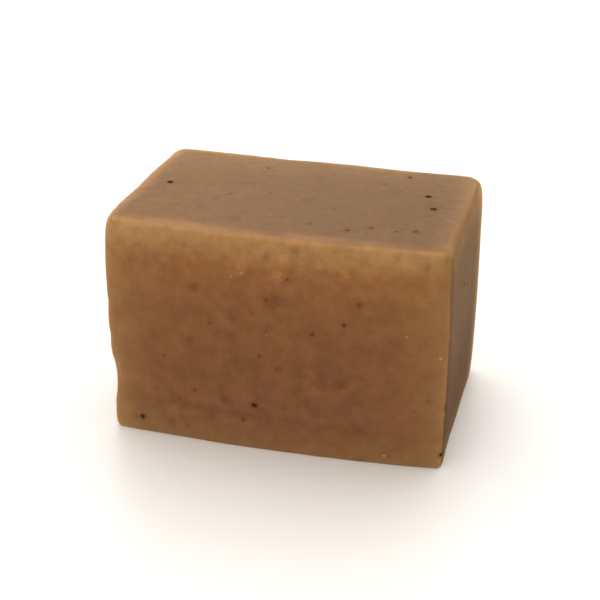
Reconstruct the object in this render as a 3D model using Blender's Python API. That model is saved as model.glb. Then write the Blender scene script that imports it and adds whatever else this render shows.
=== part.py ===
"""A fudge cube: one knife-cut block of set fudge, lying on its flat base.

Run it with:  blender --background --python part.py

Units are metres and +Z is up. The origin is the middle of the base. The long side lies along X, and
the front, which has the fullest belly, looks along -Y.
"""

import math

import bmesh
import bpy
from mathutils import Vector, noise

MM = 0.001

# Driving sizes of the cut block.
LENGTH = 36.6 * MM
DEPTH = 23.15 * MM
HEIGHT = 25.15 * MM

# Rounding of the cut edges. A squareness of 2 is a round edge, and more is a crisper one.
EDGE_ROUND = 1.5 * MM
SQUARENESS = 4.0
SQUARENESS_SOFT = 2.1
SQUARENESS_BASE = 9.0
ROUND_ROWS = 3
CELL = 1.6 * MM

# How far the corners lean out of square. A key says which end of X, Y and Z the corner is at.
CORNER_LEAN = {
    (-1, -1, 0): Vector((0.05, -0.15, 0.0)) * MM,
    (+1, -1, 0): Vector((0.0, 0.1, 0.0)) * MM,
    (-1, -1, 1): Vector((-0.1, 0.0, 0.1)) * MM,
    (+1, -1, 1): Vector((0.0, 0.0, -0.1)) * MM,
    (-1, +1, 1): Vector((0.05, 0.1, 0.1)) * MM,
    (+1, +1, 1): Vector((0.05, -0.05, -0.15)) * MM,
}

# How far the middle of each face swells past its edges.
FRONT_BELLY = 0.95 * MM
BACK_BELLY = 0.2 * MM
SIDE_BELLY = 0.25 * MM

# The foot: a shallow crease, higher on the left than on the right.
CREASE_HEIGHT = 4.3 * MM
CREASE_SLOPE = 0.5 * MM
CREASE_WIDTH = 1.5 * MM
CREASE_DEPTH = 0.2 * MM

# Places where an edge or a corner is pressed in: (shares of X, Y and Z), reach, depth.
NICKS = [
    ((-1.0, -1.0, 0.28), 3.4 * MM, 0.45 * MM),
    ((+1.0, +1.0, 1.0), 2.6 * MM, 0.45 * MM),
    ((-0.95, -1.0, 0.43), 1.8 * MM, 0.15 * MM),
    ((-0.25, +1.0, 1.0), 3.0 * MM, 0.1 * MM),
    ((+0.45, +1.0, 0.05), 2.8 * MM, 0.4 * MM),
    ((-1.0, +1.0, 0.55), 3.0 * MM, 0.5 * MM),
]

# Slow unevenness of all the faces. Each axis reads the noise at a place of its own.
WAVE_LENGTH = 7.0 * MM
WAVE_HEIGHT = 0.12 * MM
WAVE_PLACES = (Vector((3.2, 0.4, 7.7)), Vector((31.5, 12.3, 0.6)), Vector((9.1, 47.8, 21.2)))

FUDGE_BROWN = (0.27, 0.125, 0.05, 1.0)
FUDGE_ROUGHNESS = 0.45

HALF = Vector((LENGTH / 2, DEPTH / 2, HEIGHT / 2))


def smooth_step(value):
    """0 below 0, 1 above 1 and an S curve between."""
    value = min(max(value, 0.0), 1.0)
    return value * value * (3.0 - 2.0 * value)


def stations(half):
    """Places of the loop cuts along one axis: close together in the rounded ends, even between."""
    flat = half - EDGE_ROUND
    rows = [flat + EDGE_ROUND * math.tan(math.pi / 4 * k / ROUND_ROWS) for k in range(ROUND_ROWS)]
    cells = round(2 * flat / CELL)
    inner = [-flat + 2 * flat * k / cells for k in range(1, cells)]
    return [-place for place in rows] + inner + rows


def cut_box():
    """A box with its loop cuts, centred on the origin."""
    mesh = bmesh.new()
    bmesh.ops.create_cube(mesh, size=2.0)
    bmesh.ops.scale(mesh, vec=HALF, verts=mesh.verts)
    for axis in range(3):
        normal = Vector((0.0, 0.0, 0.0))
        normal[axis] = 1.0
        for place in stations(HALF[axis]):
            bmesh.ops.bisect_plane(
                mesh,
                geom=mesh.verts[:] + mesh.edges[:] + mesh.faces[:],
                dist=1e-7,
                plane_co=normal * place,
                plane_no=normal,
            )
    return mesh


def squareness(share):
    """How crisp an edge is here: softest along the top of the front and round its right corner,
    crispest round the base."""
    front = smooth_step((-share.y - 0.6) / 0.4)
    right = smooth_step((share.x - 0.6) / 0.3) * smooth_step((0.2 - share.y) / 0.9)
    soft = max(front, right) * smooth_step((share.z - 0.7) / 0.25)
    base = smooth_step((0.25 - share.z) / 0.2)
    crisp = SQUARENESS + (SQUARENESS_SOFT - SQUARENESS) * soft
    return crisp + (SQUARENESS_BASE - SQUARENESS) * base


def soften_edges(point, power):
    """Rounds the edges of the box with this squareness."""
    inner = Vector([min(max(c, EDGE_ROUND - h), h - EDGE_ROUND) for c, h in zip(point, HALF)])
    out = point - inner
    reach = sum(abs(c) ** power for c in out) ** (1.0 / power)
    return inner + out * (EDGE_ROUND / reach) if reach > 0.0 else point


def lean(share):
    """The out-of-square shift of a point, blended from the corners."""
    shift = Vector((0.0, 0.0, 0.0))
    for (side_x, side_y, top), offset in CORNER_LEAN.items():
        weight = (1 + side_x * share.x) / 2 * (1 + side_y * share.y) / 2
        weight *= share.z if top else 1 - share.z
        shift += offset * weight
    return shift


def bellies(share):
    """How far the upright faces swell between their edges."""
    across_x = 1 - share.x**2
    across_z = 1 - (2 * share.z - 1) ** 2
    front = smooth_step((1 - share.y) / 2)
    y = BACK_BELLY * across_x * across_z * (1 - front) - FRONT_BELLY * across_x * front
    x = SIDE_BELLY * share.x * across_z
    return Vector((x, y, 0.0))


def crease(share, height):
    """The shallow crease above the foot, as a pull inwards on every side but the right."""
    away = (height - CREASE_HEIGHT + CREASE_SLOPE * share.x) / CREASE_WIDTH
    depth = CREASE_DEPTH * math.exp(-away * away)
    return Vector((max(-share.x, 0.0) ** 3, -(share.y**3), 0.0)) * depth


def nicks(point):
    """The pull of the pressed places on a point, towards the middle of the block."""
    pull = Vector((0.0, 0.0, 0.0))
    for shares, reach, depth in NICKS:
        place = Vector((shares[0] * HALF.x, shares[1] * HALF.y, (2 * shares[2] - 1) * HALF.z))
        away = (point - place).length / reach
        pull -= place.normalized() * depth * math.exp(-4 * away * away)
    return pull


def waves(point):
    """Slow unevenness, along each of the three axes."""
    return Vector([noise.noise(point / WAVE_LENGTH + place) for place in WAVE_PLACES]) * WAVE_HEIGHT


def shape(point):
    """Where a point of the plain box lies on the fudge. The base stays flat."""
    height = point.z + HALF.z
    share = Vector((point.x / HALF.x, point.y / HALF.y, height / HEIGHT))
    shift = lean(share) + bellies(share) + crease(share, height) + nicks(point) + waves(point)
    shift.z *= smooth_step(height / (2 * EDGE_ROUND))
    moved = soften_edges(point, squareness(share)) + shift
    moved.z += HALF.z
    return moved


def centre_over_origin(mesh):
    """Moves the block sideways, so that the origin is under the middle of its length and depth."""
    middle = Vector((0.0, 0.0, 0.0))
    for axis in (0, 1):
        places = [vertex.co[axis] for vertex in mesh.verts]
        middle[axis] = (min(places) + max(places)) / 2
    bmesh.ops.translate(mesh, vec=-middle, verts=mesh.verts)


def fudge_material():
    """The plain colour and gloss of the fudge."""
    material = bpy.data.materials.new("fudge")
    material.use_nodes = True
    surface = material.node_tree.nodes["Principled BSDF"]
    surface.inputs["Base Color"].default_value = FUDGE_BROWN
    surface.inputs["Roughness"].default_value = FUDGE_ROUGHNESS
    surface.inputs["Metallic"].default_value = 0.0
    return material


def fudge_block():
    """The block as one closed mesh object."""
    mesh = cut_box()
    for vertex in mesh.verts:
        vertex.co = shape(vertex.co)
    centre_over_origin(mesh)
    bmesh.ops.recalc_face_normals(mesh, faces=mesh.faces)
    data = bpy.data.meshes.new("fudge_cube")
    mesh.to_mesh(data)
    mesh.free()
    data.shade_smooth()
    data.materials.append(fudge_material())
    return bpy.data.objects.new("fudge_cube", data)


def main():
    for old in list(bpy.data.objects):
        bpy.data.objects.remove(old)
    collection = bpy.data.collections.new("fudge_cube")
    bpy.context.scene.collection.children.link(collection)
    collection.objects.link(fudge_block())


main()
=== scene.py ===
"""A block of vanilla fudge, dressed around its solid: surface relief, specks, sugar crystals and a stage.

Every length is in metres, in the frame of the solid: +Z is up, the front looks along -Y and the long
side lies along X. Places on the block come from the box of its solid.
"""

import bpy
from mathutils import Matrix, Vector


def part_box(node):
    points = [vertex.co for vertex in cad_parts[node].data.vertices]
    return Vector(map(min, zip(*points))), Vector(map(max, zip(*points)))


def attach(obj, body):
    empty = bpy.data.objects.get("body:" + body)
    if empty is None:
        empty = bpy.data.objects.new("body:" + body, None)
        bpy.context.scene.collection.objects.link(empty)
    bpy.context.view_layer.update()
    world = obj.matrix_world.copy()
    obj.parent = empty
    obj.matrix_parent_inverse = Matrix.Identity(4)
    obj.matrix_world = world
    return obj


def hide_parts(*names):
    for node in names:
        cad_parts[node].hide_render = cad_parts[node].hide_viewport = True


bl_info = {
    "name": "Fudge Cube",
    "version": (1, 0, 0),
    "blender": (4, 5, 0),
    "location": "3D View > Sidebar > Fudge",
    "description": "Dresses a block of vanilla fudge with its grain, specks and sugar crystals",
    "category": "Add Mesh",
}

import math

import bmesh
import bpy
from bpy.props import FloatProperty, FloatVectorProperty, IntProperty, PointerProperty
from mathutils import Vector
from mathutils.kdtree import KDTree
from mathutils.noise import noise as value_at

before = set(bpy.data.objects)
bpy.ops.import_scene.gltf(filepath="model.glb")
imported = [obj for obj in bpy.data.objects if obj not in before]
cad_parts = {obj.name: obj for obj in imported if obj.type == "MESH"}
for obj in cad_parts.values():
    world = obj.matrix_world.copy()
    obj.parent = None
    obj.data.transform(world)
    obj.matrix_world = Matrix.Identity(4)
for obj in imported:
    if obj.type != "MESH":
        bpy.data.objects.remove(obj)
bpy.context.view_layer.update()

MM = 0.001
PER_SQUARE_CM = 1.0e4

LOW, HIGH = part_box("fudge_cube")
MIDDLE = (LOW + HIGH) / 2
HALF = (HIGH - LOW) / 2
FRONT_BELLY = 0.9 * MM
FLOOR_LIFT = 0.18 * MM

# Specks that stand out, as (face, share across, share up or back, width in millimetres).
MARKED_DARK_SPECKS = (
    ("top", 0.86, 0.64, 0.80),
    ("top", 0.89, 0.50, 0.86),
    ("top", 0.10, 0.51, 0.86),
    ("front", 0.45, 0.22, 0.68),
    ("front", 0.10, 0.08, 0.66),
    ("right", 0.38, 0.72, 0.50),
)
MARKED_RUSSET_SPECKS = (
    ("top", 0.87, 0.23, 1.10),
    ("top", 0.78, 0.86, 1.00),
    ("front", 0.62, 0.59, 0.72),
    ("front", 0.75, 0.74, 0.60),
    ("front", 0.27, 0.25, 0.62),
    ("front", 0.49, 0.72, 0.50),
    ("front", 0.52, 0.41, 0.50),
    ("front", 0.18, 0.40, 0.46),
    ("front", 0.22, 0.20, 0.42),
    ("top", 0.75, 0.22, 0.72),
    ("top", 0.69, 0.17, 0.64),
    ("top", 0.58, 0.19, 0.46),
    ("top", 0.82, 0.21, 0.52),
    ("top", 0.35, 0.80, 0.50),
    ("right", 0.50, 0.67, 0.50),
)
MARKED_SUGAR_CRYSTALS = (
    ("front", 0.83, 0.05, 0.50),
    ("front", 0.98, 0.53, 0.44),
    ("front", 0.42, 0.83, 0.40),
    ("top", 0.34, 0.89, 0.45),
)

# Brown smudges and closed bubbles just under the surface, in the same way.
MARKED_SMUDGES = (
    ("top", 0.37, 0.16, 2.0),
    ("top", 0.53, 0.45, 1.8),
    ("top", 0.34, 0.59, 1.2),
    ("top", 0.31, 0.57, 1.0),
    ("top", 0.52, 0.73, 1.3),
    ("top", 0.27, 0.38, 1.2),
    ("top", 0.30, 0.44, 1.3),
    ("top", 0.22, 0.17, 0.9),
    ("top", 0.25, 0.26, 1.2),
    ("top", 0.69, 0.17, 1.5),
    ("top", 0.75, 0.22, 1.5),
    ("front", 0.51, 0.72, 2.2),
    ("front", 0.36, 0.23, 1.6),
    ("front", 0.70, 0.37, 1.7),
    ("front", 0.28, 0.74, 1.2),
    ("front", 0.52, 0.41, 1.1),
    ("front", 0.57, 0.95, 1.1),
    ("front", 0.93, 0.93, 1.0),
    ("front", 0.95, 0.33, 0.9),
    ("front", 0.49, 0.91, 0.9),
    ("front", 0.26, 0.49, 1.0),
)
MARKED_BUBBLES = (
    ("front", 0.42, 0.84, 1.5),
    ("front", 0.54, 0.91, 1.2),
    ("front", 0.52, 0.84, 1.4),
    ("front", 0.58, 0.86, 1.3),
    ("front", 0.64, 0.90, 1.2),
    ("front", 0.71, 0.87, 1.1),
    ("front", 0.20, 0.13, 1.5),
    ("front", 0.63, 0.33, 1.3),
)


# ---------------------------------------------------------------- settings


def length_setting(name, default, description):
    """A length that a user can change."""
    return FloatProperty(
        name=name, description=description, default=default, min=0.0, unit="LENGTH", precision=6
    )


def share_setting(name, default, description):
    """A share from 0 to 1 that a user can change."""
    return FloatProperty(
        name=name, description=description, default=default, min=0.0, max=1.0, subtype="FACTOR"
    )


def colour_setting(name, default, description):
    """A colour that a user can change."""
    return FloatVectorProperty(
        name=name, description=description, default=default, size=3, min=0.0, max=1.0,
        subtype="COLOR",
    )


class BodySettings(bpy.types.PropertyGroup):
    """Sizes of the relief on the block."""

    cell: length_setting("Cell", 0.23 * MM, "Width of the faces of the finished surface")
    smoothing: IntProperty(
        name="Smoothing", description="Rounds of smoothing before the relief", default=14, min=0
    )
    ripple_width: length_setting("Ripple Width", 4.5 * MM, "Width of the soft hollows")
    ripple_height: length_setting("Ripple Height", 0.085 * MM, "Height of the soft hollows")
    grain_width: length_setting("Grain Width", 0.75 * MM, "Width of the surface grain")
    grain_height: length_setting("Grain Height", 0.018 * MM, "Height of the surface grain")
    drag_width: length_setting("Drag Width", 1.1 * MM, "Width of the marks left by the knife")
    drag_height: length_setting("Drag Height", 0.012 * MM, "Height of the marks left by the knife")
    pore_width: length_setting("Pore Width", 2.0 * MM, "Distance between places for a pore")
    pore_depth: length_setting("Pore Depth", 0.11 * MM, "Depth of a pore")
    pore_share: share_setting("Pore Share", 0.22, "Share of the places that have a pore")
    crumble_reach: length_setting("Crumble Reach", 1.2 * MM, "How far the edges crumble")
    crumble_width: length_setting("Crumble Width", 1.3 * MM, "Width of a crumbled place")
    crumble_depth: length_setting("Crumble Depth", 0.14 * MM, "Depth of a crumbled place")


class FudgeSettings(bpy.types.PropertyGroup):
    """Colours and depth of the fudge, with the colours of its painted glow, highlights, sheen and shade.
    """

    dark: colour_setting("Dark Brown", (0.211, 0.090, 0.0383), "The darker of the two browns")
    light: colour_setting("Light Brown", (0.266, 0.114, 0.0475), "The lighter of the two browns")
    # Painted glow: the colour of light that comes through the fudge below the top edge, painted into the
    # surface.
    painted_glow_colour: colour_setting("Amber", (0.49, 0.222, 0.069), "Colour under the top, as light comes through")
    # Painted highlight: the colour of the light bands along the edges, painted in rather than the edges'
    # own colour.
    tan: colour_setting("Tan", (0.44, 0.254, 0.102), "Colour of the edges themselves")
    # Painted sheen: a greyed brown that stands in for the white sheen the top reflects.
    painted_sheen_colour: colour_setting("Greyed Brown", (0.194, 0.101, 0.0375), "Colour of the bloom on the top")
    # Painted shade: the right end is coloured darker and greyer for the lesser light it gets, darker
    # still towards its base.
    end: colour_setting("End Brown", (0.158, 0.087, 0.043), "Colour of the right end, near its top")
    painted_low_end_shade: colour_setting("Low End Brown", (0.088, 0.041, 0.018), "Colour of the right end, low down")
    russet: colour_setting("Russet", (0.125, 0.038, 0.013), "Colour of specks under the surface")
    scatter_depth: length_setting("Scatter Depth", 1.4 * MM, "How deep light goes into the fudge")
    scatter_tint: colour_setting("Scatter Tint", (1.0, 0.60, 0.30), "Which light goes deepest")


class DarkSpeckSettings(bpy.types.PropertyGroup):
    """Sizes and colour of the dark specks."""

    smallest: length_setting("Smallest", 0.26 * MM, "Width of the smallest speck")
    largest: length_setting("Largest", 0.50 * MM, "Width of the largest scattered speck")
    spacing: length_setting("Spacing", 3.0 * MM, "Least distance between specks")
    density: FloatProperty(name="Density", description="Specks per square centimetre", default=0.22)
    flatness: share_setting("Flatness", 0.50, "Thickness as a share of width")
    sink: share_setting("Sink", 0.12, "Depth of its middle as a share of width")
    seed: IntProperty(name="Seed", description="Picks another scatter", default=4)
    stain_reach: length_setting("Stain Reach", 0.40 * MM, "How far a speck tints the fudge round it")
    stain_strength: share_setting("Stain Strength", 0.42, "How strongly it tints it")
    colour: colour_setting("Colour", (0.056, 0.020, 0.005), "Colour of the specks")
    second: colour_setting("Second Colour", (0.090, 0.038, 0.010), "Colour that it is mixed with")


class RussetSpeckSettings(bpy.types.PropertyGroup):
    """Sizes and colour of the russet specks."""

    smallest: length_setting("Smallest", 0.16 * MM, "Width of the smallest speck")
    largest: length_setting("Largest", 0.48 * MM, "Width of the largest scattered speck")
    spacing: length_setting("Spacing", 1.9 * MM, "Least distance between specks")
    density: FloatProperty(name="Density", description="Specks per square centimetre", default=0.7)
    flatness: share_setting("Flatness", 0.40, "Thickness as a share of width")
    sink: share_setting("Sink", 0.14, "Depth of its middle as a share of width")
    seed: IntProperty(name="Seed", description="Picks another scatter", default=11)
    stain_reach: length_setting("Stain Reach", 0.35 * MM, "How far a speck tints the fudge round it")
    stain_strength: share_setting("Stain Strength", 0.22, "How strongly it tints it")
    colour: colour_setting("Colour", (0.145, 0.049, 0.015), "Colour of the specks")
    second: colour_setting("Second Colour", (0.200, 0.082, 0.028), "Colour that it is mixed with")


class SugarCrystalSettings(bpy.types.PropertyGroup):
    """Sizes and colour of the pale sugar crystals."""

    smallest: length_setting("Smallest", 0.20 * MM, "Width of the smallest crystal")
    largest: length_setting("Largest", 0.34 * MM, "Width of the largest scattered crystal")
    spacing: length_setting("Spacing", 2.4 * MM, "Least distance between crystals")
    density: FloatProperty(name="Density", description="Per square centimetre", default=0.3)
    flatness: share_setting("Flatness", 0.60, "Thickness as a share of width")
    sink: share_setting("Sink", 0.14, "Depth of its middle as a share of width")
    seed: IntProperty(name="Seed", description="Picks another scatter", default=23)
    colour: colour_setting("Colour", (0.40, 0.23, 0.10), "Colour of the crystals")
    second: colour_setting("Second Colour", (0.47, 0.30, 0.15), "Colour that it is mixed with")


class StageSettings(bpy.types.PropertyGroup):
    """Floor, light and camera."""

    azimuth: FloatProperty(
        name="Azimuth", description="Turn of the camera from the front to the right",
        default=math.radians(14.72), subtype="ANGLE",
    )
    elevation: FloatProperty(
        name="Elevation", description="Tilt of the camera above the horizon",
        default=math.radians(25.67), subtype="ANGLE",
    )
    distance: length_setting("Distance", 144.13 * MM, "From the camera to the middle of the block")
    lens: FloatProperty(name="Lens", description="Focal length", default=77.21, unit="CAMERA")
    floor_width: length_setting("Floor Width", 3.0, "Width of the round floor")
    floor: colour_setting("Floor", (0.935, 0.925, 0.91), "Colour of the floor")
    surroundings: FloatProperty(
        name="Surroundings", description="Brightness of the white all round", default=0.22
    )
    shade: colour_setting("Shade", (1.0, 0.86, 0.60), "Warm tint of the light that fills the shadows")
    key: FloatProperty(name="Key", description="Strength of the soft light above", default=2.9)
    fill: FloatProperty(name="Fill", description="Strength of the light in front", default=0.93)
    back: FloatProperty(name="Back", description="Brightness of the panel behind", default=0.75)


# ---------------------------------------------------------------- nodes


def add_node(tree, kind, inputs=None, **settings):
    """Adds a node. Inputs go by name or number, and take a value or another node's socket."""
    node = tree.nodes.new(kind)
    for name, value in settings.items():
        setattr(node, name, value)
    for name, value in (inputs or {}).items():
        if isinstance(value, bpy.types.NodeSocket):
            tree.links.new(value, node.inputs[name])
        else:
            node.inputs[name].default_value = value
    return node


def maths(tree, operation, first, second=0.0, third=0.0):
    """One step of arithmetic."""
    inputs = {0: first, 1: second, 2: third}
    return add_node(tree, "ShaderNodeMath", inputs, operation=operation).outputs[0]


def vector_maths(tree, operation, first, second=(0.0, 0.0, 0.0)):
    """One step of arithmetic on vectors. A scale takes a number as its second value."""
    key = 3 if operation == "SCALE" else 1
    node = add_node(tree, "ShaderNodeVectorMath", {0: first, key: second}, operation=operation)
    return node.outputs[0]


def ramp(tree, value, low, high, at_low=0.0, at_high=1.0):
    """A smooth change from at_low to at_high as the value goes from low to high."""
    inputs = {"Value": value, 1: low, 2: high, 3: at_low, 4: at_high}
    node = add_node(tree, "ShaderNodeMapRange", inputs, interpolation_type="SMOOTHSTEP")
    return node.outputs[0]


def noise(tree, place, width, detail=2.0, distortion=0.0):
    """Noise from 0 to 1, whose lumps are about this wide."""
    scale = maths(tree, "DIVIDE", 1.0, width)
    inputs = {"Vector": place, "Scale": scale, "Detail": detail, "Distortion": distortion}
    return add_node(tree, "ShaderNodeTexNoise", inputs).outputs[0]


def cells(tree, place, width):
    """Distance to the middle of the nearest cell, in cell widths, and two random numbers of it."""
    scale = maths(tree, "DIVIDE", 1.0, width)
    node = add_node(tree, "ShaderNodeTexVoronoi", {"Vector": place, "Scale": scale})
    parts = add_node(tree, "ShaderNodeSeparateXYZ", {0: node.outputs["Color"]})
    return node.outputs["Distance"], parts.outputs[0], parts.outputs[1]


def mixed(tree, factor, first, second):
    """Two colours mixed."""
    inputs = {0: factor, 6: first, 7: second}
    return add_node(tree, "ShaderNodeMix", inputs, data_type="RGBA").outputs[2]


def new_tree(name, sockets):
    """An empty Geometry Nodes tree with a geometry in and out, and these inputs: name to type."""
    tree = bpy.data.node_groups.new(name, "GeometryNodeTree")
    tree.interface.new_socket("Geometry", in_out="INPUT", socket_type="NodeSocketGeometry")
    tree.interface.new_socket("Geometry", in_out="OUTPUT", socket_type="NodeSocketGeometry")
    for socket, kind in sockets.items():
        tree.interface.new_socket(socket, in_out="INPUT", socket_type="NodeSocket" + kind)
    return tree, tree.nodes.new("NodeGroupInput").outputs


def end_tree(tree, geometry, material):
    """Ends a tree: real faces, smooth, in their material."""
    realized = add_node(tree, "GeometryNodeRealizeInstances", {0: geometry})
    smooth = add_node(tree, "GeometryNodeSetShadeSmooth", {0: realized.outputs[0]})
    coated = add_node(
        tree, "GeometryNodeSetMaterial", {0: smooth.outputs[0], "Material": material}
    )
    add_node(tree, "NodeGroupOutput", {0: coated.outputs[0]})


def run_tree(piece, tree, values):
    """Puts the tree on the piece with these input values, and keeps the result as a plain mesh."""
    modifier = piece.modifiers.new(tree.name, "NODES")
    modifier.node_group = tree
    for item in tree.interface.items_tree:
        if item.in_out == "INPUT" and item.name in values:
            modifier[item.identifier] = values[item.name]
    keep_result(piece)


def keep_result(piece):
    """Turns what the modifiers make into the piece's own mesh."""
    graph = bpy.context.evaluated_depsgraph_get()
    graph.update()
    result = bpy.data.meshes.new_from_object(piece.evaluated_get(graph), depsgraph=graph)
    old = piece.data
    piece.modifiers.clear()
    piece.data = result
    result.name = piece.name
    bpy.data.meshes.remove(old)


# ---------------------------------------------------------------- materials


def surface_material(name):
    """A new material: its tree, its Principled shader and the object's coordinates."""
    material = bpy.data.materials.new(name)
    material.use_nodes = True
    tree = material.node_tree
    coordinates = tree.nodes.new("ShaderNodeTexCoord")
    return material, tree, tree.nodes["Principled BSDF"], coordinates.outputs["Object"]


def rgba(colour):
    return (*colour, 1.0)


def split(tree, vector):
    """The three parts of a vector."""
    return add_node(tree, "ShaderNodeSeparateXYZ", {0: vector}).outputs


def combined(tree, value):
    """A vector with this value along each axis."""
    return add_node(tree, "ShaderNodeCombineXYZ", {0: value, 1: value, 2: value}).outputs[0]


def edge_gaps(tree, place, middle, half, belly):
    """Distances from a place on the block to its nearest top edge, upright edge and base edge."""
    out = vector_maths(tree, "SUBTRACT", place, middle)
    share = split(tree, vector_maths(tree, "DIVIDE", out, half))
    gap = split(tree, vector_maths(tree, "SUBTRACT", half, vector_maths(tree, "ABSOLUTE", out)))
    in_front = maths(tree, "LESS_THAN", share[1], 0.0)
    bend = product(tree, share[0], share[0], belly, in_front)
    depth = maths(tree, "SUBTRACT", gap[1], bend)
    inwards = maths(tree, "MINIMUM", gap[0], depth)
    height = split(tree, out)[2]
    reach = split(tree, half)[2]
    top = maths(tree, "MAXIMUM", maths(tree, "SUBTRACT", reach, height), inwards)
    base = maths(tree, "MAXIMUM", maths(tree, "ADD", reach, height), inwards)
    upright = maths(tree, "MAXIMUM", gap[0], depth)
    return top, upright, base


def fade(tree, gap, reach, strength):
    """A glow that is strongest at an edge and fades over this reach."""
    share = maths(tree, "DIVIDE", gap, -reach)
    return maths(tree, "MULTIPLY", maths(tree, "EXPONENT", share), strength)


def total(tree, *values):
    """The sum of several values."""
    result = values[0]
    for value in values[1:]:
        result = maths(tree, "ADD", result, value)
    return result


def product(tree, *values):
    """The product of several values."""
    result = values[0]
    for value in values[1:]:
        result = maths(tree, "MULTIPLY", result, value)
    return result


def painted_edge_light(tree, place, gaps, up, right):
    """How much painted glow shows under the top, and how much painted highlight along every edge, for
    light that comes through the fudge.
    """
    top, upright, base = gaps
    level = ramp(tree, up, 0.75, 0.98)
    steep = maths(tree, "SUBTRACT", 1.0, level)
    end = ramp(tree, right, 0.8, 0.97)
    across, back, _ = split(tree, place)
    behind = ramp(tree, back, 0.0, HALF.y)
    corner = ramp(tree, across, 0.3 * HALF.x, HALF.x - 1.0 * MM, 1.0, 1.2)
    turned = ramp(tree, right, 0.1, 0.65, 1.0, 0.2)
    # Painted glow: strongest under the top edge and towards the right corner, weaker on the right end.
    glow = product(tree, fade(tree, top, 5.0 * MM, 0.80), corner, turned, steep)

    # Painted highlights: bands along the upright edges, the foot, the crest of the top edge, the top's
    # rim and the right end's back edge stand in for light catching them.
    shown = maths(tree, "MULTIPLY_ADD", end, maths(tree, "SUBTRACT", behind, 1.0), 1.0)
    seam = maths(tree, "MULTIPLY_ADD", product(tree, end, behind), 1.4, 1.0)
    sides = product(tree, fade(tree, upright, 2.2 * MM, 0.66), shown, seam)
    sides = product(tree, total(tree, sides, fade(tree, base, 2.4 * MM, 0.52)), steep)
    thin = product(tree, ramp(tree, upright, 1.0 * MM, 6.5 * MM, 0.50, 0.0), end, behind, steep)
    shoulder = product(tree, ramp(tree, top, 1.0 * MM, 4.5 * MM, 0.45, 0.0), end, behind, steep)
    broad = product(tree, fade(tree, top, 5.0 * MM, 0.36), behind, level)
    crest = product(
        tree,
        ramp(tree, top, 1.0 * MM, 3.9 * MM, 0.86, 0.0),
        ramp(tree, right, 0.1, 0.65, 1.0, 0.22),
        steep,
    )
    narrow = product(
        tree,
        ramp(tree, top, 0.5 * MM, 2.4 * MM, 0.58, 0.0),
        ramp(tree, across, 0.5 * HALF.x, HALF.x - 1.0 * MM, 1.0, 0.3),
        level,
    )
    beside = product(tree, ramp(tree, across, HALF.x - 3.8 * MM, HALF.x - 1.0 * MM, 0.0, 0.18), level)
    return glow, total(tree, crest, narrow, sides, thin, shoulder, broad, beside)


def painted_crease_shade(tree, place):
    """The line of the shallow crease above the foot, from 0 to 1. It runs down to the right."""
    across, _, height = split(tree, place)
    fall = maths(tree, "MULTIPLY_ADD", across, 0.5 * MM / HALF.x, -4.1 * MM)
    away = maths(tree, "DIVIDE", total(tree, height, fall), 0.9 * MM)
    return ramp(tree, maths(tree, "ABSOLUTE", away), 0.0, 1.0, 1.0, 0.0)


def bubbles(tree, place, width, share):
    """Pale rings of bubbles that closed up just under the surface, from 0 to 1."""
    bend = maths(tree, "MULTIPLY_ADD", noise(tree, place, 0.5 * MM), 1.2 * MM, -0.6 * MM)
    uneven = vector_maths(tree, "ADD", place, combined(tree, bend))
    distance, pick, random = cells(tree, uneven, width)
    chosen = maths(tree, "LESS_THAN", pick, share)
    radius = maths(tree, "MULTIPLY_ADD", random, 0.12, 0.16)
    off = maths(tree, "ABSOLUTE", maths(tree, "SUBTRACT", maths(tree, "DIVIDE", distance, radius), 1.0))
    return product(tree, ramp(tree, off, 0.0, 0.45, 1.0, 0.0), chosen)


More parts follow.
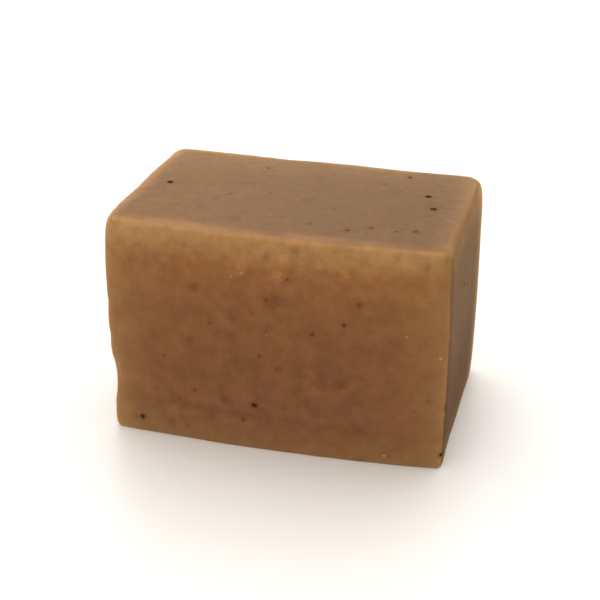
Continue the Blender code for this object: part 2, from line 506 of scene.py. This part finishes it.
def fudge_material(settings):
    """Close caramel brown: mottled and specked below, with painted glow and highlights at the edges,
    painted sheen on the top and painted shade on the right end, along the crease and towards the right of
    the top.
    """
    material, tree, shader, place = surface_material("fudge")
    normal = tree.nodes.new("ShaderNodeNewGeometry").outputs["Normal"]
    facing = split(tree, normal)
    right, up = facing[0], facing[2]
    level = ramp(tree, up, 0.75, 0.98)
    across = split(tree, place)[0]
    wobble = maths(tree, "SUBTRACT", noise(tree, place, 3.0 * MM, 3.0), 0.5)
    straight = edge_gaps(tree, place, tuple(MIDDLE), tuple(HALF), FRONT_BELLY)
    gaps = [maths(tree, "MULTIPLY_ADD", wobble, 1.8 * MM, gap) for gap in straight]

    mottle = ramp(tree, noise(tree, place, 2.4 * MM, 3.0), 0.28, 0.72)
    colour = mixed(tree, mottle, rgba(settings.dark), rgba(settings.light))
    # Painted shade on the right end: darker colours stand in for its lesser light, darkest towards the
    # base.
    end = mixed(tree, ramp(tree, gaps[2], 2.0 * MM, 16 * MM), rgba(settings.painted_low_end_shade), rgba(settings.end))
    turned = maths(tree, "SUBTRACT", right, ramp(tree, gaps[0], 1.0 * MM, 3.0 * MM, 0.0, 0.4))
    painted_end_shade = product(tree, ramp(tree, turned, 0.3, 0.56), ramp(tree, gaps[0], 0.0, 1.4 * MM, 0.7, 1.0))
    colour = mixed(tree, painted_end_shade, colour, end)

    # Painted sheen on the top, in patches, kept off the very edge.
    patches = ramp(tree, noise(tree, place, 2.2 * MM, 4.0), 0.3, 0.7, 0.75, 0.97)
    inner = ramp(tree, gaps[0], 0.3 * MM, 2.6 * MM)
    painted_sheen = product(tree, level, patches, inner)
    colour = mixed(tree, painted_sheen, colour, rgba(settings.painted_sheen_colour))
    glow, painted_highlight = painted_edge_light(tree, place, gaps, up, right)
    # Painted glow under the top edge, mixed into the colour.
    colour = mixed(tree, glow, colour, rgba(settings.painted_glow_colour))
    # Painted highlights along the edges, mixed into the colour.
    colour = mixed(tree, painted_highlight, colour, rgba(settings.tan))

    distance, pick, width = cells(tree, place, 2.3 * MM)
    chosen = maths(tree, "LESS_THAN", pick, 0.38)
    radius = maths(tree, "MULTIPLY_ADD", width, 0.24, 0.16)
    blur = ramp(tree, maths(tree, "DIVIDE", distance, radius), 0.0, 1.0, 0.24, 0.0)
    stain = add_node(tree, "ShaderNodeAttribute", attribute_name="stain").outputs["Fac"]
    below = maths(tree, "MAXIMUM", product(tree, blur, chosen), stain)
    colour = mixed(tree, below, colour, rgba(settings.russet))

    near_top = ramp(tree, gaps[0], 2.0 * MM, 9.0 * MM, 1.0, 0.35)
    lumps = maths(tree, "SUBTRACT", noise(tree, place, 1.2 * MM, 2.0), 0.5)
    calm = maths(tree, "MULTIPLY_ADD", maths(tree, "MAXIMUM", level, painted_end_shade), -0.6, 1.0)
    pale = add_node(tree, "ShaderNodeAttribute", attribute_name="bubble").outputs["Fac"]
    rings = bubbles(tree, place, 2.6 * MM, 0.30)
    fine = noise(tree, place, 0.35 * MM, 3.0)
    shade = total(
        tree,
        1.0,
        product(tree, maths(tree, "SUBTRACT", fine, 0.5), calm, 0.12),
        product(tree, lumps, near_top, calm, 0.62),
        product(tree, rings, near_top, 0.10),
        product(tree, pale, 0.28),
        # Painted shade along the crease above the foot.
        product(tree, painted_crease_shade(tree, place), -0.09),
        # Painted shade: the top gets darker towards the right end, as the light falls off across it.
        product(tree, ramp(tree, across, -HALF.x, HALF.x, 0.05, -0.12), level),
    )
    shaded = vector_maths(tree, "SCALE", colour, shade)
    tree.links.new(shaded, shader.inputs["Base Color"])

    grit = ramp(tree, noise(tree, place, 0.9 * MM, 4.0), 0.3, 0.7, -0.06, 0.06)
    rough = total(tree, ramp(tree, up, 0.4, 0.9, 0.85, 0.52), grit)
    tree.links.new(rough, shader.inputs["Roughness"])
    height = maths(tree, "MULTIPLY_ADD", noise(tree, place, 0.16 * MM, 3.0), 0.5, fine)
    bump = add_node(
        tree, "ShaderNodeBump", {"Strength": 0.12, "Distance": 0.05 * MM, "Height": height}
    )
    tree.links.new(bump.outputs[0], shader.inputs["Normal"])

    shader.inputs["IOR"].default_value = 1.46
    shader.inputs["Specular IOR Level"].default_value = 0.15
    shader.inputs["Subsurface Weight"].default_value = 1.0
    shader.inputs["Subsurface Radius"].default_value = settings.scatter_tint
    shader.inputs["Subsurface Scale"].default_value = settings.scatter_depth
    return material


def grain_material(name, settings, roughness):
    """Two close tones, mixed in patches about as wide as a grain."""
    material, tree, shader, place = surface_material(name)
    patches = ramp(tree, noise(tree, place, 0.7 * MM), 0.35, 0.65)
    colour = mixed(tree, patches, rgba(settings.colour), rgba(settings.second))
    tree.links.new(colour, shader.inputs["Base Color"])
    rough = maths(tree, "MULTIPLY_ADD", patches, 0.15, roughness)
    tree.links.new(rough, shader.inputs["Roughness"])
    shader.inputs["Specular IOR Level"].default_value = 0.0
    return material


def floor_material(settings):
    """Smooth pale board with a faint soft gloss."""
    material, tree, shader, place = surface_material("pale_board")
    cloud = noise(tree, place, 60 * MM, 2.0)
    tint = maths(tree, "MULTIPLY_ADD", cloud, 0.02, 0.99)
    colour = vector_maths(tree, "SCALE", tuple(settings.floor), tint)
    tree.links.new(colour, shader.inputs["Base Color"])
    rough = maths(tree, "MULTIPLY_ADD", cloud, 0.06, 0.30)
    tree.links.new(rough, shader.inputs["Roughness"])
    return material


# ---------------------------------------------------------------- the block


def relief_tree():
    """The relief of the fudge: soft hollows, grain, knife marks, pores and crumbled edges."""
    widths = ("Ripple Width", "Grain Width", "Drag Width", "Pore Width", "Crumble Width")
    heights = ("Ripple Height", "Grain Height", "Drag Height", "Pore Depth", "Crumble Depth")
    sockets = {name: "Float" for name in widths + heights + ("Pore Share", "Crumble Reach")}
    sockets.update({"Middle": "Vector", "Half Size": "Vector", "Belly": "Float"})
    sockets.update({"Smoothing": "Int", "Material": "Material"})
    tree, given = new_tree("fudge relief", sockets)
    place = tree.nodes.new("GeometryNodeInputPosition").outputs[0]
    normal = tree.nodes.new("GeometryNodeInputNormal").outputs[0]
    gaps = edge_gaps(tree, place, given["Middle"], given["Half Size"], given["Belly"])
    edge = maths(tree, "MINIMUM", gaps[0], maths(tree, "MINIMUM", gaps[1], gaps[2]))

    # The faces are smoothed all over, and the edges only a little, so that they stay crisp.
    blurred = add_node(
        tree,
        "GeometryNodeBlurAttribute",
        {
            "Iterations": given["Smoothing"],
            "Weight": ramp(tree, edge, 0.3 * MM, 1.5 * MM, 0.04, 1.0),
        },
        data_type="FLOAT_VECTOR",
    )
    vectors = [socket for socket in blurred.inputs if socket.type == "VECTOR"]
    tree.links.new(place, vectors[0])
    smooth = add_node(
        tree,
        "GeometryNodeSetPosition",
        {0: given["Geometry"], "Position": next(s for s in blurred.outputs if s.type == "VECTOR")},
    )

    def swing(width, height, stretch=(1.0, 1.0, 1.0), detail=2.0):
        """Noise that swings both ways, to this height."""
        lumps = noise(tree, vector_maths(tree, "MULTIPLY", place, stretch), width, detail)
        return maths(tree, "MULTIPLY", maths(tree, "SUBTRACT", lumps, 0.5), height)

    ripple = swing(given["Ripple Width"], given["Ripple Height"])
    grain = swing(given["Grain Width"], given["Grain Height"], detail=3.0)
    drag = swing(given["Drag Width"], given["Drag Height"], stretch=(1.0, 1.0, 0.08))

    distance, pick, random = cells(tree, place, given["Pore Width"])
    chosen = maths(tree, "LESS_THAN", pick, given["Pore Share"])
    radius = maths(tree, "MULTIPLY_ADD", random, 0.16, 0.10)
    hollow = ramp(tree, maths(tree, "DIVIDE", distance, radius), 0.3, 1.0, 1.0, 0.0)
    pore = product(tree, hollow, chosen, given["Pore Depth"])

    near_edge = ramp(tree, maths(tree, "DIVIDE", edge, given["Crumble Reach"]), 0.0, 1.0, 1.0, 0.0)
    chips = ramp(tree, noise(tree, place, given["Crumble Width"], 4.0), 0.48, 0.72, -0.35, 0.65)
    crumble = product(tree, near_edge, chips, given["Crumble Depth"])

    raised = total(tree, ripple, grain, drag)
    height = maths(tree, "SUBTRACT", raised, total(tree, pore, crumble))
    up = add_node(tree, "ShaderNodeSeparateXYZ", {0: place}).outputs[2]
    height = maths(tree, "MULTIPLY", height, ramp(tree, up, 0.05 * MM, 1.0 * MM))
    moved = add_node(
        tree,
        "GeometryNodeSetPosition",
        {0: smooth.outputs[0], "Offset": vector_maths(tree, "SCALE", normal, height)},
    )
    end_tree(tree, moved.outputs[0], given["Material"])
    return tree


def fine_copy(name, node, cell):
    """A closed copy of a solid in even cells."""
    mesh = bmesh.new()
    mesh.from_mesh(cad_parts[node].data)
    bmesh.ops.remove_doubles(mesh, verts=mesh.verts, dist=0.001 * MM)
    data = bpy.data.meshes.new(name)
    mesh.to_mesh(data)
    mesh.free()
    data.materials.clear()
    piece = bpy.data.objects.new(name, data)
    bpy.context.scene.collection.objects.link(piece)
    remesh = piece.modifiers.new("even cells", "REMESH")
    remesh.mode = "VOXEL"
    remesh.voxel_size = cell
    keep_result(piece)
    return piece


def marked_places(marks, body):
    """The place, the normal and the width of each mark on the body."""
    across = {"top": (0, 1), "front": (0, 2), "right": (1, 2)}
    outside = {"top": (2, HIGH.z), "front": (1, LOW.y), "right": (0, HIGH.x)}
    places = []
    for face, first, second, width in marks:
        point = Vector((0.0, 0.0, 0.0))
        for axis, share in zip(across[face], (first, second)):
            point[axis] = LOW[axis] + (HIGH[axis] - LOW[axis]) * share
        axis, value = outside[face]
        point[axis] = value
        found, place, normal, _ = body.closest_point_on_mesh(point)
        if not found:
            raise RuntimeError(f"no place on the block for a mark on the {face}")
        places.append((place, normal, width * MM))
    return places


def smudge(share):
    """How dark a smudge is at this share of its radius."""
    return 0.48 * max(0.0, 1.0 - share) ** 0.7


def bubble(share):
    """How pale a closed bubble is at this share of its radius: palest in a ring."""
    return max(0.0, 1.0 - abs(share - 0.45) / 0.55) ** 1.3


def show_marks(body, attribute, marks, profile):
    """Notes on the body's points how strongly these marks show there."""
    near = KDTree(len(body.data.vertices))
    for index, vertex in enumerate(body.data.vertices):
        near.insert(vertex.co, index)
    near.balance()
    shown = body.data.attributes.new(attribute, "FLOAT", "POINT").data
    for place, _, width in marked_places(marks, body):
        for point, index, gap in near.find_range(place, width):
            uneven = 1.0 + 0.6 * value_at(point / (0.45 * MM))
            shown[index].value = max(shown[index].value, profile(min(1.0, uneven * gap / (width / 2))))


class FUDGE_OT_body(bpy.types.Operator):
    """Makes the block with its surface relief"""

    bl_idname = "fudge.body"
    bl_label = "Block"

    def execute(self, context):
        sizes = context.scene.fudge_body
        piece = fine_copy("fudge_body", "fudge_cube", sizes.cell)
        values = {
            "Ripple Width": sizes.ripple_width,
            "Ripple Height": sizes.ripple_height,
            "Grain Width": sizes.grain_width,
            "Grain Height": sizes.grain_height,
            "Drag Width": sizes.drag_width,
            "Drag Height": sizes.drag_height,
            "Pore Width": sizes.pore_width,
            "Pore Depth": sizes.pore_depth,
            "Pore Share": sizes.pore_share,
            "Crumble Reach": sizes.crumble_reach,
            "Crumble Width": sizes.crumble_width,
            "Crumble Depth": sizes.crumble_depth,
            "Middle": MIDDLE,
            "Half Size": HALF,
            "Belly": FRONT_BELLY,
            "Smoothing": sizes.smoothing,
            "Material": fudge_material(context.scene.fudge_finish),
        }
        run_tree(piece, relief_tree(), values)
        show_marks(piece, "stain", MARKED_SMUDGES, smudge)
        show_marks(piece, "bubble", MARKED_BUBBLES, bubble)
        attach(piece, "root")
        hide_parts("fudge_cube")
        return {"FINISHED"}


# ---------------------------------------------------------------- specks and crystals


def grain_tree():
    """Grains set in a surface: scattered ones, and ones at chosen places."""
    sockets = {
        "Surface": "Object",
        "Spacing": "Float",
        "Density": "Float",
        "Smallest": "Float",
        "Largest": "Float",
        "Flatness": "Float",
        "Sink": "Float",
        "Seed": "Int",
        "Material": "Material",
    }
    tree, given = new_tree("fudge grains", sockets)
    surface = add_node(
        tree, "GeometryNodeObjectInfo", {0: given["Surface"]}, transform_space="RELATIVE"
    )
    scattered = add_node(
        tree,
        "GeometryNodeDistributePointsOnFaces",
        {
            0: surface.outputs["Geometry"],
            "Distance Min": given["Spacing"],
            "Density Max": given["Density"],
            "Seed": given["Seed"],
        },
        distribute_method="POISSON",
    )
    draw = add_node(tree, "FunctionNodeRandomValue", {"Seed": given["Seed"]}, data_type="FLOAT")
    rare = maths(tree, "POWER", draw.outputs[1], 1.7)
    spread = maths(tree, "SUBTRACT", given["Largest"], given["Smallest"])
    width = maths(tree, "MULTIPLY_ADD", rare, spread, given["Smallest"])
    sized = add_node(
        tree,
        "GeometryNodeStoreNamedAttribute",
        {0: scattered.outputs[0], "Name": "grain_width", "Value": width},
        data_type="FLOAT",
        domain="POINT",
    )
    faced = add_node(
        tree,
        "GeometryNodeStoreNamedAttribute",
        {0: sized.outputs[0], "Name": "grain_normal", "Value": scattered.outputs["Normal"]},
        data_type="FLOAT_VECTOR",
        domain="POINT",
    )
    chosen = add_node(tree, "GeometryNodeMeshToPoints", {0: given["Geometry"]})
    places = add_node(tree, "GeometryNodeJoinGeometry")
    tree.links.new(chosen.outputs[0], places.inputs[0])
    tree.links.new(faced.outputs[0], places.inputs[0])

    width = add_node(
        tree, "GeometryNodeInputNamedAttribute", {"Name": "grain_width"}, data_type="FLOAT"
    ).outputs[0]
    normal = add_node(
        tree, "GeometryNodeInputNamedAttribute", {"Name": "grain_normal"}, data_type="FLOAT_VECTOR"
    ).outputs[0]
    depth = maths(tree, "MULTIPLY", maths(tree, "MULTIPLY", width, given["Sink"]), -1.0)
    sunk = add_node(
        tree,
        "GeometryNodeSetPosition",
        {0: places.outputs[0], "Offset": vector_maths(tree, "SCALE", normal, depth)},
    )
    flat = add_node(tree, "FunctionNodeAlignRotationToVector", {"Vector": normal}, axis="Z")
    turn = add_node(
        tree,
        "FunctionNodeRandomValue",
        {2: 0.0, 3: math.tau, "Seed": maths(tree, "ADD", given["Seed"], 1.0)},
        data_type="FLOAT",
    )
    spin = add_node(
        tree,
        "FunctionNodeAxisAngleToRotation",
        {"Axis": (0.0, 0.0, 1.0), "Angle": turn.outputs[1]},
    )
    turned = add_node(
        tree,
        "FunctionNodeRotateRotation",
        {0: flat.outputs[0], 1: spin.outputs[0]},
        rotation_space="LOCAL",
    )
    slim = add_node(
        tree,
        "FunctionNodeRandomValue",
        {2: 0.7, 3: 1.0, "Seed": maths(tree, "ADD", given["Seed"], 2.0)},
        data_type="FLOAT",
    )
    proportions = add_node(
        tree, "ShaderNodeCombineXYZ", {0: 1.0, 1: slim.outputs[1], 2: given["Flatness"]}
    )
    ball = add_node(tree, "GeometryNodeMeshIcoSphere", {"Radius": 0.5, "Subdivisions": 2})
    grains = add_node(
        tree,
        "GeometryNodeInstanceOnPoints",
        {
            0: sunk.outputs[0],
            "Instance": ball.outputs[0],
            "Rotation": turned.outputs[0],
            "Scale": vector_maths(tree, "SCALE", proportions.outputs[0], width),
        },
    )
    solid = add_node(tree, "GeometryNodeRealizeInstances", {0: grains.outputs[0]})
    place = tree.nodes.new("GeometryNodeInputPosition").outputs[0]
    lumps = add_node(
        tree, "ShaderNodeTexNoise", {"Vector": place, "Scale": 1.0 / (0.22 * MM), "Detail": 1.0}
    )
    shift = vector_maths(tree, "SUBTRACT", lumps.outputs["Color"], (0.5, 0.5, 0.5))
    uneven = add_node(
        tree,
        "GeometryNodeSetPosition",
        {0: solid.outputs[0], "Offset": vector_maths(tree, "SCALE", shift, 0.16 * MM)},
    )
    end_tree(tree, uneven.outputs[0], given["Material"])
    return tree


def chosen_places(name, marks, body):
    """An object with a loose point on the body for each marked grain, with its width and normal."""
    points, normals, widths = zip(*marked_places(marks, body))
    data = bpy.data.meshes.new(name)
    data.from_pydata(points, [], [])
    data.attributes.new("grain_width", "FLOAT", "POINT").data.foreach_set("value", widths)
    flat = [part for normal in normals for part in normal]
    data.attributes.new("grain_normal", "FLOAT_VECTOR", "POINT").data.foreach_set("vector", flat)
    piece = bpy.data.objects.new(name, data)
    bpy.context.scene.collection.objects.link(piece)
    return piece


def make_grains(name, settings, marks, material):
    """One piece with all the grains of a kind."""
    body = bpy.data.objects["fudge_body"]
    piece = chosen_places(name, marks, body)
    tree = bpy.data.node_groups.get("fudge grains") or grain_tree()
    values = {
        "Surface": body,
        "Spacing": settings.spacing,
        "Density": settings.density * PER_SQUARE_CM,
        "Smallest": settings.smallest,
        "Largest": settings.largest,
        "Flatness": settings.flatness,
        "Sink": settings.sink,
        "Seed": settings.seed,
        "Material": material,
    }
    run_tree(piece, tree, values)
    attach(piece, "root")
    return piece


def stain_body(grains, reach, strength):
    """Notes on the body's points how strongly the nearest of these grains tints the fudge round it."""
    body = bpy.data.objects["fudge_body"].data
    near = KDTree(len(grains.data.vertices))
    for index, vertex in enumerate(grains.data.vertices):
        near.insert(vertex.co, index)
    near.balance()
    for vertex, value in zip(body.vertices, body.attributes["stain"].data):
        gap = near.find(vertex.co)[2]
        value.value = max(value.value, strength * max(0.0, 1.0 - gap / reach))


class FUDGE_OT_dark_specks(bpy.types.Operator):
    """Makes the dark vanilla specks"""

    bl_idname = "fudge.dark_specks"
    bl_label = "Dark Specks"

    def execute(self, context):
        settings = context.scene.fudge_dark_specks
        material = grain_material("dark_speck", settings, 0.45)
        grains = make_grains("dark_specks", settings, MARKED_DARK_SPECKS, material)
        stain_body(grains, settings.stain_reach, settings.stain_strength)
        return {"FINISHED"}


class FUDGE_OT_russet_specks(bpy.types.Operator):
    """Makes the russet specks"""

    bl_idname = "fudge.russet_specks"
    bl_label = "Russet Specks"

    def execute(self, context):
        settings = context.scene.fudge_russet_specks
        material = grain_material("russet_speck", settings, 0.5)
        grains = make_grains("russet_specks", settings, MARKED_RUSSET_SPECKS, material)
        stain_body(grains, settings.stain_reach, settings.stain_strength)
        return {"FINISHED"}


class FUDGE_OT_sugar_crystals(bpy.types.Operator):
    """Makes the pale sugar crystals"""

    bl_idname = "fudge.sugar_crystals"
    bl_label = "Sugar Crystals"

    def execute(self, context):
        settings = context.scene.fudge_sugar_crystals
        material = grain_material("sugar_crystal", settings, 0.25)
        make_grains("sugar_crystals", settings, MARKED_SUGAR_CRYSTALS, material)
        return {"FINISHED"}


# ---------------------------------------------------------------- the stage


def add_floor(settings):
    """A round pale floor, pressed a hair's breadth into the foot of the block."""
    mesh = bmesh.new()
    bmesh.ops.create_circle(
        mesh, cap_ends=True, cap_tris=False, segments=96, radius=settings.floor_width / 2
    )
    bmesh.ops.translate(mesh, vec=(0.0, 0.0, LOW.z + FLOOR_LIFT), verts=mesh.verts)
    data = bpy.data.meshes.new("floor")
    mesh.to_mesh(data)
    mesh.free()
    data.materials.append(floor_material(settings))
    floor = bpy.data.objects.new("floor", data)
    bpy.context.scene.collection.objects.link(floor)


def add_light(name, kind, place, **settings):
    """A light that looks at the middle of the block."""
    data = bpy.data.lights.new(name, kind)
    for key, value in settings.items():
        setattr(data, key, value)
    light = bpy.data.objects.new(name, data)
    light.location = place
    light.rotation_euler = (MIDDLE - Vector(place)).to_track_quat("-Z", "Y").to_euler()
    light.visible_camera = False
    bpy.context.scene.collection.objects.link(light)
    return light


def add_camera(settings):
    """A camera that looks at the middle of the block."""
    flat = math.cos(settings.elevation)
    back = Vector(
        (
            math.sin(settings.azimuth) * flat,
            -math.cos(settings.azimuth) * flat,
            math.sin(settings.elevation),
        )
    )
    data = bpy.data.cameras.new("camera")
    data.lens = settings.lens
    data.sensor_width = 36.0
    data.clip_start = 0.01
    camera = bpy.data.objects.new("camera", data)
    camera.location = MIDDLE + back * settings.distance
    camera.rotation_euler = (-back).to_track_quat("-Z", "Y").to_euler()
    bpy.context.scene.collection.objects.link(camera)
    bpy.context.scene.camera = camera


def add_surroundings(settings):
    """White all round: full white to the eye, and softer as a light."""
    world = bpy.data.worlds.new("surroundings")
    world.use_nodes = True
    tree = world.node_tree
    seen = tree.nodes.new("ShaderNodeLightPath").outputs["Is Camera Ray"]
    background = tree.nodes["Background"]
    tint = mixed(tree, seen, rgba(settings.shade), (1.0, 1.0, 1.0, 1.0))
    tree.links.new(tint, background.inputs["Color"])
    strength = ramp(tree, seen, 0.0, 1.0, settings.surroundings, 1.0)
    tree.links.new(strength, background.inputs["Strength"])
    bpy.context.scene.world = world


class FUDGE_OT_stage(bpy.types.Operator):
    """Makes the floor, the light and the camera"""

    bl_idname = "fudge.stage"
    bl_label = "Stage"

    def execute(self, context):
        settings = context.scene.fudge_stage
        add_floor(settings)
        add_surroundings(settings)
        add_light("key", "SUN", (-0.1, 0.27, 1.0), energy=settings.key, angle=math.radians(75))
        add_light("fill", "SUN", (-0.22, -0.9, 0.38), energy=settings.fill, angle=math.radians(60))
        width, height = 1.2, 0.7
        add_light(
            "back_panel",
            "AREA",
            (-0.1, 0.8, 0.45),
            shape="RECTANGLE",
            size=width,
            size_y=height,
            energy=settings.back * math.pi * width * height,
        )
        add_camera(settings)
        context.scene.view_settings.view_transform = "Standard"
        return {"FINISHED"}


# ---------------------------------------------------------------- the add-on


class FUDGE_PT_panel(bpy.types.Panel):
    """Lists the makers of the block's pieces"""

    bl_idname = "FUDGE_PT_panel"
    bl_label = "Fudge Cube"
    bl_space_type = "VIEW_3D"
    bl_region_type = "UI"
    bl_category = "Fudge"

    def draw(self, context):
        for operator, group in MAKERS:
            box = self.layout.box()
            box.operator(operator.bl_idname)
            for key in getattr(context.scene, group).__annotations__:
                box.prop(getattr(context.scene, group), key)


GROUPS = {
    "fudge_body": BodySettings,
    "fudge_finish": FudgeSettings,
    "fudge_dark_specks": DarkSpeckSettings,
    "fudge_russet_specks": RussetSpeckSettings,
    "fudge_sugar_crystals": SugarCrystalSettings,
    "fudge_stage": StageSettings,
}
MAKERS = (
    (FUDGE_OT_stage, "fudge_stage"),
    (FUDGE_OT_body, "fudge_body"),
    (FUDGE_OT_dark_specks, "fudge_dark_specks"),
    (FUDGE_OT_russet_specks, "fudge_russet_specks"),
    (FUDGE_OT_sugar_crystals, "fudge_sugar_crystals"),
)


def register():
    for name, group in GROUPS.items():
        bpy.utils.register_class(group)
        setattr(bpy.types.Scene, name, PointerProperty(type=group))
    for operator, _ in MAKERS:
        bpy.utils.register_class(operator)
    bpy.utils.register_class(FUDGE_PT_panel)


def unregister():
    bpy.utils.unregister_class(FUDGE_PT_panel)
    for operator, _ in reversed(MAKERS):
        bpy.utils.unregister_class(operator)
    for name, group in reversed(GROUPS.items()):
        delattr(bpy.types.Scene, name)
        bpy.utils.unregister_class(group)


def main():
    register()
    bpy.ops.fudge.stage()
    bpy.ops.fudge.body()
    bpy.ops.fudge.dark_specks()
    bpy.ops.fudge.russet_specks()
    bpy.ops.fudge.sugar_crystals()


if __name__ == "__main__":
    main()
